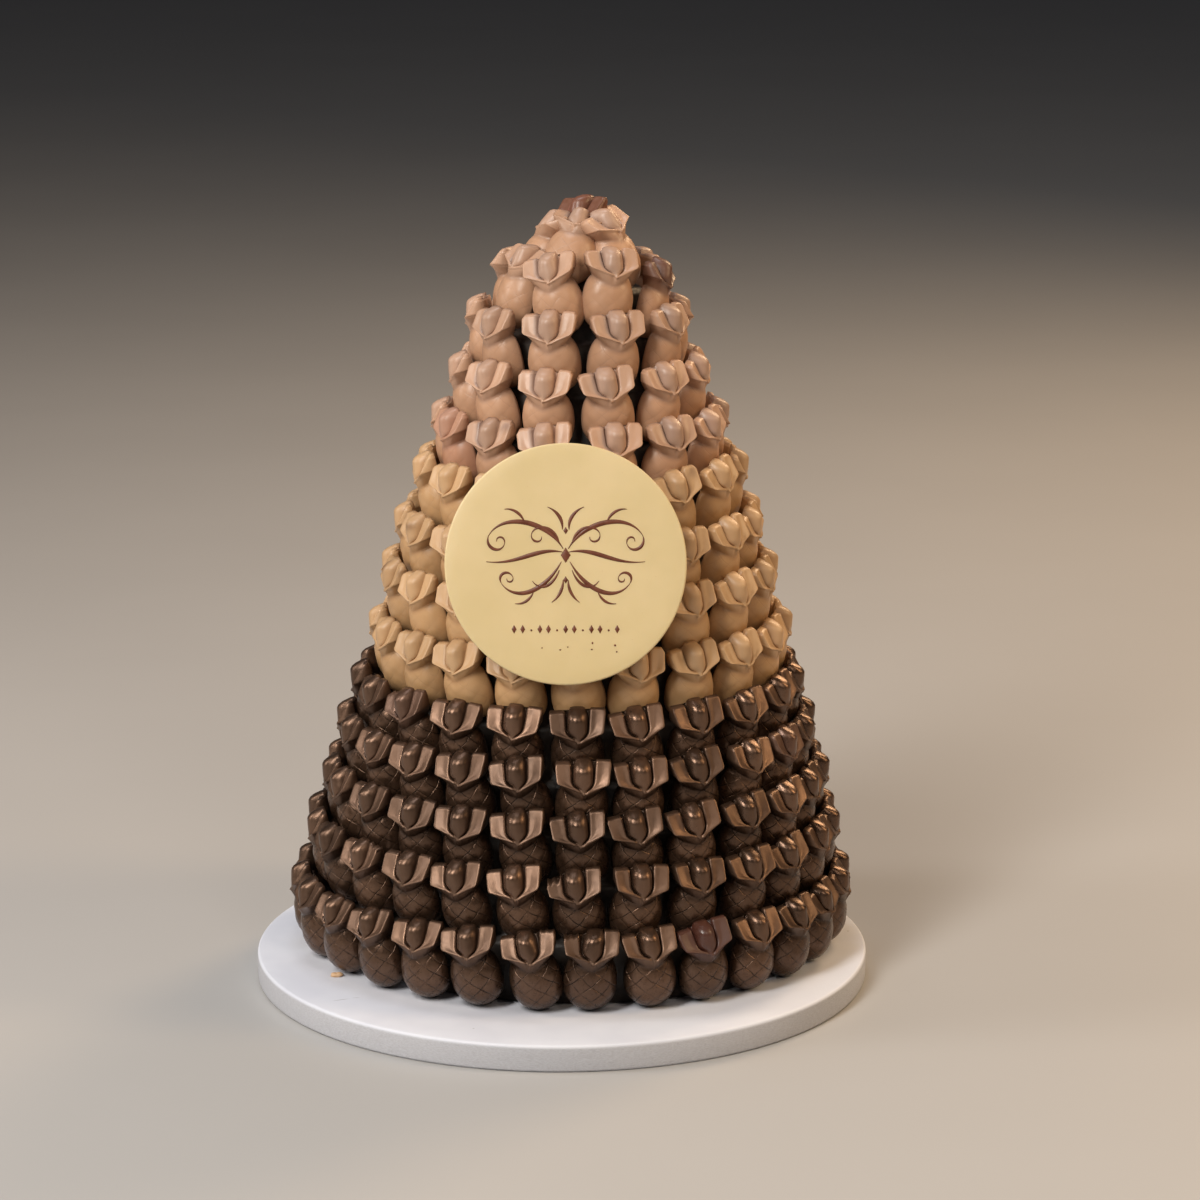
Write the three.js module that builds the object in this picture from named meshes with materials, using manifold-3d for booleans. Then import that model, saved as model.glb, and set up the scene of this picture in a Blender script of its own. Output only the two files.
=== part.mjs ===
// Festive chocolate pyramid on a round white board.
// Fourteen rings of flat-backed moulded pineapple chocolates climb a dark stepped core: dark with a
// bronze lustre at the foot, blond in the middle, milk above, and one more piece at the very top. A
// white chocolate disc leans on the blond rings at the front. Millimetres, +Z up, front towards -Y,
// origin under the board's centre.
import * as THREE from 'three';
import { mergeVertices } from 'three/addons/utils/BufferGeometryUtils.js';
import Module from 'manifold-3d';

const boardDiameter = 300;
const boardThickness = 13;
const boardBevel = 1.2;
const gap = 0.3; // clearance between separate solids

const axisX = 9; // the pyramid stands a little to the right of the board's centre and behind it
const axisY = 19.5;
const ovalDepth = 0.92; // front-to-back size of each ring over its width

const bodyWidth = 25.4; // one pineapple chocolate, flat back down its whole length
const bodyHeight = 26;
const bodyDepth = 11.6;
const crownWidth = 26.2;
const pieceHeight = 45;
const lipHeight = 28.5; // where the crown's two leaves meet in a V
const lipDepth = 13;
const rodHeight = 37; // middle of the rod between the leaves
const rodDepth = 8.5;
const coreBite = 0.9; // how far the foot of a flat back is pressed into the core

const plaqueDiameter = 113;
const plaqueThickness = 4;
const plaqueLean = 16; // degrees back from upright
const plaqueCentre = { x: 2.8, y: -66.9, z: 220.7 }; // middle of the disc's back

// Each ring: colour, number of pieces, radius and height of its rods above the board's top,
// outward lean in degrees, and azimuth of its first piece from the front, towards the right.
const rings = [
  { name: 'dark_tier_1', tone: 'dark', count: 28, radius: 135.8, height: 34.8, lean: 13, first: 4.9 },
  { name: 'dark_tier_2', tone: 'dark', count: 26, radius: 130, height: 64.5, lean: 14, first: 2.0 },
  { name: 'dark_tier_3', tone: 'dark', count: 25, radius: 123.2, height: 89, lean: 15, first: 1.6 },
  { name: 'dark_tier_4', tone: 'dark', count: 23, radius: 116.2, height: 113, lean: 15, first: 1.5 },
  { name: 'dark_tier_5', tone: 'dark', count: 21, radius: 109, height: 136, lean: 15, first: 0 },
  { name: 'blond_tier_1', tone: 'blond', count: 20, radius: 101.9, height: 159.5, lean: 15, first: -0.5 },
  { name: 'blond_tier_2', tone: 'blond', count: 19, radius: 95.9, height: 187, lean: 15, first: -1 },
  { name: 'blond_tier_3', tone: 'blond', count: 17, radius: 88.6, height: 212, lean: 15, first: -4 },
  { name: 'blond_tier_4', tone: 'blond', count: 15, radius: 79.6, height: 238.5, lean: 14, first: -7 },
  { name: 'milk_tier_1', tone: 'milk', count: 13, radius: 70.9, height: 261.8, lean: 13, first: -12.5 },
  { name: 'milk_tier_2', tone: 'milk', count: 11, radius: 61.4, height: 287, lean: 12, first: -17.5 },
  { name: 'milk_tier_3', tone: 'milk', count: 9, radius: 53.3, height: 312, lean: 11, first: -17 },
  { name: 'milk_tier_4', tone: 'milk', count: 7, radius: 42.2, height: 337.5, lean: 4, first: -23,
    azimuths: [-23, 23, 74, 125, 177, -127, -74] },
  { name: 'milk_tier_5', tone: 'milk', count: 3, radius: 18.4, height: 354.5, lean: -9, first: 0,
    azimuths: [-82, -8, 62] },
];
const topPiece = { name: 'top_pineapple', radius: 18, height: 359.5, lean: -5, azimuth: 175 };
const topStep = 3.5; // height of the core's last step

const tones = {
  dark: { color: 0x5a3a28, roughness: 0.38, metalness: 0.35 },
  blond: { color: 0xd0a176, roughness: 0.45, metalness: 0 },
  milk: { color: 0xb98a6c, roughness: 0.42, metalness: 0 },
  top: { color: 0x8a4a34, roughness: 0.4, metalness: 0 },
  plaque: { color: 0xeccf96, roughness: 0.5, metalness: 0 },
  board: { color: 0xe9e9ee, roughness: 0.75, metalness: 0 },
};

const radians = THREE.MathUtils.degToRad;

// Repeatable unevenness of the hand placing, -1 to 1, for piece i of ring r and quality q.
function unevenness(r, i, q) {
  const s = Math.sin(12.9898 * (i + 1) + 78.233 * (r + 1) + 37.719 * (q + 1)) * 43758.5453;
  return 2 * (s - Math.floor(s)) - 1;
}

// One pineapple: u across, v up the flat back, w out of it. An egg-shaped half body, a narrow neck,
// and two leaves that slope from a thin top edge out to the lip, with the rod standing between them.
function pineappleGeometry() {
  const b = bodyWidth / 2;
  const c = crownWidth / 2;
  const points = [
    [0, 0.3, 0], [-0.57 * b, 2.4, 3], [0.57 * b, 2.4, 3], // foot
    [-b, 0.48 * bodyHeight, 0], [b, 0.48 * bodyHeight, 0], // widest
    [-0.66 * b, bodyHeight - 0.5, 0], [0.66 * b, bodyHeight - 0.5, 0], // neck
    [-0.5 * b, 0.48 * bodyHeight, bodyDepth], [0.5 * b, 0.48 * bodyHeight, bodyDepth], // belly
    [0, bodyHeight, 0.72 * bodyDepth],
    [0, lipHeight, lipDepth], // crown
    [-c, pieceHeight - 10.5, 0.56 * lipDepth], [c, pieceHeight - 10.5, 0.56 * lipDepth],
    [-c, pieceHeight, 0], [c, pieceHeight, 0],
    [0, pieceHeight - 4, rodDepth],
  ];
  const faces = [
    [0, 3, 4], [3, 5, 6], [3, 6, 4], [5, 13, 14], [5, 14, 6], // flat back
    [0, 4, 2], [0, 2, 1], [0, 1, 3], // foot
    [1, 2, 8], [1, 8, 7], [1, 7, 3], [2, 4, 8], // belly
    [3, 7, 9], [3, 9, 5], [7, 8, 9], [4, 9, 8], [4, 6, 9], // shoulder and neck
    [5, 9, 10], [5, 10, 11], [5, 11, 13], [6, 10, 9], [6, 12, 10], [6, 14, 12], // under the leaves
    [11, 10, 15], [11, 15, 13], [12, 15, 10], [12, 14, 15], [13, 15, 14], // leaves and rod
  ];
  const geometry = new THREE.BufferGeometry();
  geometry.setAttribute('position', new THREE.Float32BufferAttribute(points.flat(), 3));
  geometry.setIndex(faces.flat());
  return geometry;
}

// Matrix that stands a piece on the oval: its back at radius backRadius at the foot, leaning outward.
function placement(backRadius, footHeight, azimuth, lean, roll) {
  const out = new THREE.Vector2(Math.sin(azimuth), -Math.cos(azimuth) / ovalDepth).normalize();
  const tilt = radians(lean);
  const across = new THREE.Vector3(-out.y, out.x, 0);
  const up = new THREE.Vector3(out.x * Math.sin(tilt), out.y * Math.sin(tilt), Math.cos(tilt));
  const outward = new THREE.Vector3().crossVectors(across, up);
  const turn = new THREE.Matrix4().makeRotationZ(radians(roll));
  return new THREE.Matrix4()
    .makeBasis(across, up, outward)
    .setPosition(
      axisX + backRadius * Math.sin(azimuth),
      axisY - ovalDepth * backRadius * Math.cos(azimuth),
      footHeight)
    .multiply(turn);
}

// Radius of the flat backs and height of the feet that put a ring's rods where its row says.
function footOf(ring) {
  const tilt = radians(ring.lean);
  return {
    radius: ring.radius - rodHeight * Math.sin(tilt) - rodDepth * Math.cos(tilt),
    height: boardThickness + ring.height - rodHeight * Math.cos(tilt) + rodDepth * Math.sin(tilt),
  };
}

// Azimuth of piece i, even along the oval where the ring doesn't list its own.
function azimuthOf(ring, i) {
  if (ring.azimuths) return radians(ring.azimuths[i]);
  const even = radians(ring.first + (i * 360) / ring.count);
  return even - 0.021 * Math.sin(2 * even);
}

const wasm = await Module();
wasm.setup();

function toSolid(geometry) {
  const plain = geometry.clone();
  plain.deleteAttribute('normal');
  plain.deleteAttribute('uv');
  const merged = mergeVertices(plain, 1e-4);
  return new wasm.Manifold(new wasm.Mesh({
    numProp: 3,
    vertProperties: new Float32Array(merged.attributes.position.array),
    triVerts: new Uint32Array(merged.index.array),
  }));
}

function toMesh(solid, name, tone) {
  const { vertProperties, triVerts } = solid.getMesh();
  const geometry = new THREE.BufferGeometry();
  geometry.setAttribute('position', new THREE.BufferAttribute(vertProperties, 3));
  geometry.setIndex(new THREE.BufferAttribute(triVerts, 1));
  geometry.computeVertexNormals();
  return namedMesh(geometry, name, tone);
}

function namedMesh(geometry, name, tone) {
  const mesh = new THREE.Mesh(geometry, new THREE.MeshStandardMaterial(tones[tone]));
  mesh.name = name;
  return mesh;
}

// The step of core behind a ring: its upright flats take the feet of the flat backs.
function coreStep(ring, foot, top) {
  const sides = Math.max(ring.count, 10);
  const radius = (foot.radius + coreBite) / Math.cos(Math.PI / sides);
  const height = top - foot.height;
  const geometry = new THREE.CylinderGeometry(radius, radius, height, sides, 1, false, Math.PI / sides);
  geometry.rotateX(Math.PI / 2);
  geometry.rotateZ(radians(ring.first));
  geometry.scale(1, ovalDepth, 1);
  geometry.translate(axisX, axisY, foot.height + height / 2);
  return toSolid(geometry);
}

function ringPieces(ring, r) {
  const foot = footOf(ring);
  const pieces = [];
  for (let i = 0; i < ring.count; i++) {
    const matrix = placement(
      foot.radius + 0.2 * unevenness(r, i, 0),
      foot.height + 0.4 + 0.2 * unevenness(r, i, 1),
      azimuthOf(ring, i) + radians(0.4) * unevenness(r, i, 2),
      ring.lean + 0.4 * unevenness(r, i, 3),
      1.5 * unevenness(r, i, 4));
    pieces.push(toSolid(pineappleGeometry().applyMatrix4(matrix)));
  }
  return pieces;
}

function boardMesh() {
  const radius = boardDiameter / 2;
  const profile = [
    [0, 0], [radius - boardBevel, 0], [radius, boardBevel],
    [radius, boardThickness - boardBevel], [radius - boardBevel, boardThickness], [0, boardThickness],
  ].map(([x, y]) => new THREE.Vector2(x, y));
  const geometry = new THREE.LatheGeometry(profile, 48);
  geometry.rotateX(Math.PI / 2);
  return namedMesh(geometry, 'board', 'board');
}

function plaqueMesh() {
  const radius = plaqueDiameter / 2;
  const profile = [
    [0, 0], [radius - 0.6, 0], [radius, 0.6], [radius, plaqueThickness - 0.8],
    [radius - 0.8, plaqueThickness], [0, plaqueThickness],
  ].map(([x, y]) => new THREE.Vector2(x, y));
  const geometry = new THREE.LatheGeometry(profile, 32);
  const mesh = namedMesh(geometry, 'plaque', 'plaque');
  mesh.rotation.x = Math.PI - radians(plaqueLean);
  mesh.position.set(plaqueCentre.x, plaqueCentre.y, plaqueCentre.z);
  return mesh;
}

const group = new THREE.Group();
group.add(boardMesh());
group.add(plaqueMesh());

const feet = rings.map(footOf);
rings.forEach((ring, r) => {
  const top = r + 1 < rings.length ? feet[r + 1].height - gap : feet[r].height + topStep;
  const solid = ringPieces(ring, r).reduce((sum, piece) => sum.add(piece), coreStep(ring, feet[r], top));
  group.add(toMesh(solid, ring.name, ring.tone));
});

const topFoot = footOf(topPiece);
const topMatrix = placement(topFoot.radius, topFoot.height, radians(topPiece.azimuth), topPiece.lean, 2);
group.add(toMesh(toSolid(pineappleGeometry().applyMatrix4(topMatrix)), topPiece.name, 'top'));

export default group;
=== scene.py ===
# Chocolate pyramid on its white board: rings of moulded pineapple chocolates round a dark core, with
# a pale disc leaning on the front. Metres, +Z up, front towards -Y, origin under the board's centre.
import math
import bpy
import numpy as np
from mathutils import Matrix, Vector


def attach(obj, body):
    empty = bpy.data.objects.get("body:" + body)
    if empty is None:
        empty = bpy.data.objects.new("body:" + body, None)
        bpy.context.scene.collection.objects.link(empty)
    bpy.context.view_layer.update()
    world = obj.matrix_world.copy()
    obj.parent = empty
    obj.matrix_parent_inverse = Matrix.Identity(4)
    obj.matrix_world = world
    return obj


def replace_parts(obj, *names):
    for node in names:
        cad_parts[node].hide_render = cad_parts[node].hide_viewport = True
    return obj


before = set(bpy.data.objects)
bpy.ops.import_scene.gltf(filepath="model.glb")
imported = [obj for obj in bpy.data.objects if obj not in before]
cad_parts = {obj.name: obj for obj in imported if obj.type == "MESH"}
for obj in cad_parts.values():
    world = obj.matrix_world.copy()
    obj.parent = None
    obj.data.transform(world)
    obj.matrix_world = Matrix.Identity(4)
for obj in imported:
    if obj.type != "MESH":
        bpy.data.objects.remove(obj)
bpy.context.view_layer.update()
print("frame loaded with", len(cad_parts), "nodes")

mm = 0.001


# 0 below low, 1 above high, and a smooth S between them.
def smooth(low, high, x):
    t = np.clip((x - low) / (high - low), 0, 1)
    return t * t * (3 - 2 * t)


# Repeatable unevenness of hand work, -1 to 1: the fraction of a large sine.
def unevenness(r, i, q):
    s = np.sin(12.9898 * (i + 1) + 78.233 * (r + 1) + 37.719 * (q + 1)) * 43758.5453
    return 2 * (s - np.floor(s)) - 1


# A slow wander over a surface, about -1 to 1: three sines of the two parameters and a phase.
def wander(a, b, phase):
    return (np.sin(a + 1.7 * phase) + np.sin(1.3 * b + 2.9 * phase)
            + np.sin(0.7 * a - 0.9 * b + 4.1 * phase)) / 3


# Mesh object from points in millimetres and arrays of faces, one array for each number of corners,
# with an optional UV map and one attribute for each field. It rides on the body.
def meshPiece(name, points, faceSets, uv=None, fields=None, body="root"):
    mesh = bpy.data.meshes.new(name)
    points = np.asarray(points, float).reshape(-1, 3) * mm
    loops = np.concatenate([np.asarray(f).ravel() for f in faceSets]).astype(np.int32)
    totals = np.concatenate([np.full(len(f), np.asarray(f).shape[1]) for f in faceSets])
    starts = np.concatenate([[0], np.cumsum(totals)[:-1]]).astype(np.int32)
    mesh.vertices.add(len(points))
    mesh.vertices.foreach_set("co", points.ravel())
    mesh.loops.add(len(loops))
    mesh.loops.foreach_set("vertex_index", loops)
    mesh.polygons.add(len(totals))
    mesh.polygons.foreach_set("loop_start", starts)
    mesh.update(calc_edges=True)
    mesh.shade_smooth()
    if uv is not None:
        layer = mesh.uv_layers.new(name="mould")
        layer.data.foreach_set("uv", np.asarray(uv, float).reshape(-1, 2)[loops].ravel())
    for field, values in (fields or {}).items():
        attribute = mesh.attributes.new(field, "FLOAT", "POINT")
        attribute.data.foreach_set("value", np.asarray(values, float).ravel())
    mesh.validate()
    piece = bpy.data.objects.new(name, mesh)
    bpy.context.scene.collection.objects.link(piece)
    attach(piece, body)
    return piece


# Quads of a grid of rows x columns: corner, next column, next row and column, next row.
def gridQuads(rows, columns):
    i, j = np.meshgrid(np.arange(rows - 1), np.arange(columns - 1), indexing="ij")
    a = (i * columns + j).ravel()
    return np.stack([a, a + 1, a + columns + 1, a + columns], 1)


# The same for a tube, with the last column joined to the first.
def tubeQuads(rows, columns):
    i, j = np.meshgrid(np.arange(rows - 1), np.arange(columns), indexing="ij")
    a, b = (i * columns + j).ravel(), (i * columns + (j + 1) % columns).ravel()
    return np.stack([a, b, b + columns, a + columns], 1)


# Flat caps that close a tube of rows x sides at its first and its last row.
def tubeCaps(rows, sides):
    return np.stack([np.arange(sides)[::-1], (rows - 1) * sides + np.arange(sides)])


# Round solid: x = radius x sin(angle), y = -oval x radius x cos(angle), z = height, for a profile of
# (radius, height), the radius uneven by a slow wander. Its ends near the axis get flat caps.
def turned(name, profile, sides, centre=(0, 0), oval=1.0, uneven=0.0):
    profile = np.array(profile, float)
    angle = np.arange(sides) * 2 * math.pi / sides
    radius = profile[:, :1] * (1 + uneven * wander(5 * angle[None, :], 0.3 * profile[:, 1:], 2))
    x = centre[0] + radius * np.sin(angle)
    y = centre[1] - oval * radius * np.cos(angle)
    z = np.repeat(profile[:, 1:], sides, axis=1)
    rows = len(profile)
    return meshPiece(name, np.stack([x, y, z], 2), [tubeQuads(rows, sides), tubeCaps(rows, sides)])


class Nodes:  # short calls for one node tree
    def __init__(self, tree):
        self.tree = tree

    def add(self, kind, **inputs):
        node = self.tree.nodes.new(kind)
        for key in [k for k in inputs if hasattr(node, k) and k not in node.inputs]:
            setattr(node, key, inputs.pop(key))
        for key, value in inputs.items():
            self.put(node.inputs[key.replace("_", " ")], value)
        return node

    def put(self, socket, value):
        if isinstance(value, bpy.types.NodeSocket):
            self.tree.links.new(value, socket)
        else:
            socket.default_value = value

    def math(self, operation, a, b, clamp=False):
        node = self.tree.nodes.new("ShaderNodeMath")
        node.operation = operation
        node.use_clamp = clamp
        self.put(node.inputs[0], a)
        self.put(node.inputs[1], b)
        return node.outputs[0]

    def ramp(self, value, low, high, to=(0.0, 1.0)):
        node = self.tree.nodes.new("ShaderNodeMapRange")
        node.interpolation_type = "SMOOTHSTEP"
        for socket, given in zip(node.inputs, (value, low, high, to[0], to[1])):
            self.put(socket, given)
        return node.outputs[0]

    def mix(self, factor, a, b):
        node = self.tree.nodes.new("ShaderNodeMix")
        node.data_type = "RGBA"
        for socket, value in ((node.inputs[0], factor), (node.inputs[6], a), (node.inputs[7], b)):
            self.put(socket, value if isinstance(value, bpy.types.NodeSocket) or np.isscalar(value)
                     else (*value, 1))
        return node.outputs[2]

    def noise(self, vector, scale, detail=3.0, rough=0.55):
        node = self.tree.nodes.new("ShaderNodeTexNoise")
        self.put(node.inputs["Vector"], vector)
        self.put(node.inputs["Scale"], scale)
        self.put(node.inputs["Detail"], detail)
        self.put(node.inputs["Roughness"], rough)
        return node.outputs["Fac"]

    def field(self, name):
        node = self.tree.nodes.new("ShaderNodeAttribute")
        node.attribute_name = name
        return node.outputs["Fac"]


# A shader node group with the given inputs (label, kind, value) and outputs of one number each.
def newGroup(name, inputs, outputs):
    tree = bpy.data.node_groups.new(name, "ShaderNodeTree")
    for label, kind, value in inputs:
        socket = tree.interface.new_socket(name=label, in_out="INPUT", socket_type=kind)
        if value is not None:
            socket.default_value = value
    for label in outputs:
        tree.interface.new_socket(name=label, in_out="OUTPUT", socket_type="NodeSocketFloat")
    given = tree.nodes.new("NodeGroupInput").outputs
    out = tree.nodes.new("NodeGroupOutput").inputs
    return tree, Nodes(tree), given, out


# Engraved diamond lattice of the body: thin lines where across + up or across - up is whole, bent
# by a slow noise and fading in patches, and none on the crown.
def latticeGroup():
    tree, n, given, out = newGroup("lattice", [("Mould", "NodeSocketVector", None),
                                               ("Place", "NodeSocketVector", None),
                                               ("Width", "NodeSocketFloat", 0.04),
                                               ("Fade", "NodeSocketFloat", 0.5)], ["Lines"])
    split = n.add("ShaderNodeSeparateXYZ", Vector=given["Mould"]).outputs
    wave = n.noise(given["Mould"], 0.9, 1.0)
    bend = n.math("MULTIPLY", n.math("SUBTRACT", wave, 0.5), 0.35)
    up = n.math("ADD", split["Y"], bend)
    first = n.math("PINGPONG", n.math("ADD", split["X"], up), 0.5)
    second = n.math("PINGPONG", n.math("SUBTRACT", split["X"], up), 0.5)
    near = n.math("MINIMUM", first, second)
    line = n.ramp(near, given["Width"], 0.0)
    patch = n.ramp(n.noise(given["Place"], 110.0, 2.0), 0.35, 0.6)
    rest = n.math("SUBTRACT", 1.0, given["Fade"])
    kept = n.math("ADD", given["Fade"], n.math("MULTIPLY", patch, rest))
    body = n.ramp(n.field("crown"), 0.12, 0.0)
    n.put(out["Lines"], n.math("MULTIPLY", n.math("MULTIPLY", line, kept), body))
    return tree


# Surface of set chocolate: fine grain, soft waves and mottling from the object's own coordinates.
def chocolateGrainGroup():
    tree, n, given, out = newGroup("chocolateGrain", [("Place", "NodeSocketVector", None),
                                                      ("Grain", "NodeSocketFloat", 2500.0)],
                                   ["Grain", "Waves", "Mottle"])
    n.put(out["Grain"], n.noise(given["Place"], given["Grain"], 2.0))
    n.put(out["Waves"], n.noise(given["Place"], 130.0, 2.0))
    n.put(out["Mottle"], n.noise(given["Place"], 420.0, 4.0, 0.65))
    return tree


lattice = latticeGroup()
chocolateGrain = chocolateGrainGroup()


# An empty procedural material: its node calls, its shader and the object's own coordinates.
def newMaterial(name):
    material = bpy.data.materials.new(name)
    material.use_nodes = True
    material.node_tree.nodes.clear()
    n = Nodes(material.node_tree)
    shader = n.add("ShaderNodeBsdfPrincipled")
    n.put(n.add("ShaderNodeOutputMaterial").inputs["Surface"], shader.outputs[0])
    place = n.add("ShaderNodeTexCoord").outputs["Object"]
    return material, n, shader, place


# Chocolate: a body colour that turns to the raised one by the bloom (crown share + body share, less
# under painted shade and on the rod), then the rod's painted shade and cool reflection, flecks,
# painted shade in hollows and lattice lines, redness and stains on top.
def chocolateMaterial(name, s):
    material, n, shader, place = newMaterial(name)
    grain = n.add("ShaderNodeGroup", node_tree=chocolateGrain, Place=place).outputs
    mould = n.add("ShaderNodeUVMap", uv_map="mould").outputs[0]
    lines = n.add("ShaderNodeGroup", node_tree=lattice, Mould=mould, Place=place, Width=s["lineWidth"],
                  Fade=s["lineFade"]).outputs["Lines"]
    paintedShade, crown, rod = n.field("paintedShade"), n.field("crown"), n.field("rod")
    tone, redness, stain = n.field("tone"), n.field("redness"), n.field("stain")
    mottle = n.ramp(grain["Mottle"], 0.3, 0.7)
    share = n.math("ADD", n.math("MULTIPLY", crown, s["crownShare"]), s["bodyShare"])
    bloom = n.math("MULTIPLY", share, n.ramp(grain["Waves"], 0.2, 0.75, (0.65, 1.0)))
    # Painted shade: the bloom, and the lustre's metal with it, is cut where the painted shade lies
    raised = n.math("SUBTRACT", 1.0, n.math("MULTIPLY", paintedShade, 0.8))
    bloom = n.math("MULTIPLY", bloom, raised, clamp=True)
    # Painted shade on the rod: less bloom there
    unshadedRod = n.math("SUBTRACT", 1.0, n.math("MULTIPLY", rod, s["rodBloomShade"]))
    bloom = n.math("MULTIPLY", bloom, unshadedRod)
    colour = n.mix(bloom, s["deep"], s["raised"])
    # The rod's colour: painted shade, and a painted cool grey reflection on blond and milk
    colour = n.mix(n.math("MULTIPLY", rod, s["rodShadeMix"]), colour, s["rod"])
    colour = n.mix(n.math("MULTIPLY", mottle, s["mottle"]), colour, s["fleck"])
    # Painted shade: a darker colour laid into hollows, the crease under the lip, the pocket by the rod
    # and under the crown
    colour = n.mix(n.math("MULTIPLY", paintedShade, s["shade"]), colour, s["paintedShade"])
    # Painted shade in the lattice's grooves
    colour = n.mix(n.math("MULTIPLY", lines, s["lineShade"]), colour, s["paintedShade"])
    colour = n.mix(n.math("MULTIPLY", redness, 0.75), colour, s["red"])
    colour = n.mix(n.math("MULTIPLY", stain, 0.85), colour, stainColour)
    value = n.math("ADD", n.math("MULTIPLY", tone, s["toneRange"]), 1.0)
    toned = n.add("ShaderNodeHueSaturation", Color=colour, Value=value).outputs[0]
    n.put(shader.inputs["Base Color"], toned)
    if s["metal"] > 0:
        metal = n.math("MULTIPLY", bloom, s["metal"] - s["bodyMetal"])
        metal = n.math("ADD", metal, s["bodyMetal"])
        n.put(shader.inputs["Metallic"], n.math("MULTIPLY", metal, n.math("SUBTRACT", 1.0, redness)))
    leaf = n.math("MULTIPLY", n.math("SUBTRACT", crown, rod), s["leafRough"])
    gloss = n.math("MULTIPLY", rod, s["rodGloss"])
    rough = n.math("SUBTRACT", n.math("ADD", leaf, s["roughness"]), gloss)
    uneven = n.ramp(grain["Mottle"], 0.3, 0.7, (-0.05, 0.06))
    n.put(shader.inputs["Roughness"], n.math("ADD", uneven, rough))
    shader.inputs["Specular IOR Level"].default_value = s["specular"]
    shader.inputs["Coat Weight"].default_value = s["coat"]
    shader.inputs["Coat Roughness"].default_value = 0.3
    fine = n.add("ShaderNodeBump", Strength=s["grainBump"], Distance=0.00012, Height=grain["Grain"])
    wavy = n.add("ShaderNodeBump", Strength=s["waveBump"], Distance=0.0006, Height=grain["Waves"],
                 Normal=fine.outputs[0])
    cut = n.add("ShaderNodeBump", Strength=s["lineBump"], Distance=0.00035, invert=True, Height=lines,
                Normal=wavy.outputs[0])
    n.put(shader.inputs["Normal"], cut.outputs[0])
    return material


stainColour = (0.10, 0.035, 0.02)
# In each finish, the colour for the shade mask is painted shade, and the rod colour is the rod's
# painted shade, with a painted cool grey reflection on blond and milk.
darkFinish = dict(
    deep=(0.098, 0.052, 0.030), raised=(0.160, 0.095, 0.063), fleck=(0.25, 0.155, 0.105),
    paintedShade=(0.010, 0.005, 0.003), red=(0.075, 0.020, 0.014), rod=(0.125, 0.071, 0.045), rodShadeMix=0.6,
    rodBloomShade=0.4, crownShare=0.8, bodyShare=0.10, mottle=0.16, shade=0.75, lineShade=0.75,
    toneRange=0.22, metal=0.85, bodyMetal=0.72, roughness=0.30, leafRough=0.14, rodGloss=0.08,
    specular=0.5, coat=0.12, grainBump=0.45, waveBump=0.45, lineBump=0.8, lineWidth=0.055,
    lineFade=0.35)
blondFinish = dict(
    deep=(0.470, 0.272, 0.122), raised=(0.53, 0.335, 0.178), fleck=(0.58, 0.39, 0.225),
    paintedShade=(0.27, 0.130, 0.055), red=(0.50, 0.22, 0.12), rod=(0.44, 0.29, 0.17), rodShadeMix=0.4,
    rodBloomShade=0.0, crownShare=0.6, bodyShare=0.2, mottle=0.12, shade=0.55, lineShade=0.12,
    toneRange=0.10, metal=0.0, bodyMetal=0.0, roughness=0.42, leafRough=0.0, rodGloss=0.0,
    specular=0.5, coat=0.05, grainBump=0.12, waveBump=0.3, lineBump=0.25, lineWidth=0.05,
    lineFade=0.05)
milkFinish = dict(
    deep=(0.480, 0.270, 0.158), raised=(0.48, 0.295, 0.200), fleck=(0.54, 0.335, 0.225),
    paintedShade=(0.22, 0.135, 0.105), red=(0.48, 0.19, 0.12), rod=(0.33, 0.235, 0.195), rodShadeMix=0.75,
    rodBloomShade=0.0, crownShare=0.7, bodyShare=0.08, mottle=0.12, shade=0.6, lineShade=0.12,
    toneRange=0.10, metal=0.0, bodyMetal=0.0, roughness=0.40, leafRough=0.0, rodGloss=0.0,
    specular=0.5, coat=0.05, grainBump=0.12, waveBump=0.3, lineBump=0.25, lineWidth=0.05,
    lineFade=0.05)
redFinish = dict(milkFinish, deep=(0.125, 0.048, 0.027), raised=(0.165, 0.072, 0.043),
                 fleck=(0.30, 0.13, 0.09), paintedShade=(0.05, 0.02, 0.013), rod=(0.22, 0.08, 0.05),
                 roughness=0.36)
finishes = {
    "dark": chocolateMaterial("bronzeDarkChocolate", darkFinish),
    "blond": chocolateMaterial("blondChocolate", blondFinish),
    "milk": chocolateMaterial("milkChocolate", milkFinish),
    "red": chocolateMaterial("reddishChocolate", redFinish),
}
print("chocolate finishes made")

mould = dict(  # millimetres and degrees, from the foot of the flat back
    widest=12.7, depth=11.8, belly=13.5, reach=17.0, fullness=2.5, neck=23.6, neckRise=4.0,
    lowerRows=10, upperRows=11, halfColumns=18,
    latticeTurn=47.0, latticeRise=8.2, pillow=0.34,
    lipMiddle=27.3, lipCorner=32.0, lowerHalf=12.2, upperHalf=13.2,
    leafTop=39.7, lipDepth=11.9, cornerDepth=10.2, topDepth=(1.4, 2.8), unequal=0.7, tongue=0.5,
    rodTop=41.0, rodFull=32.6, rodFoot=28.4, rodHalf=4.9, rodDepth=(11.7, 9.0),
    pocket=2.1, pocketWidth=0.55)
underSteps = np.array([0.12, 0.3, 0.5, 0.68, 0.84, 0.95])
crownSteps = np.array([0, 0.03, 0.07, 0.12, 0.18, 0.25, 0.33, 0.42, 0.51, 0.6, 0.7, 0.79, 0.87,
                       0.94, 1.0])


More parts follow.
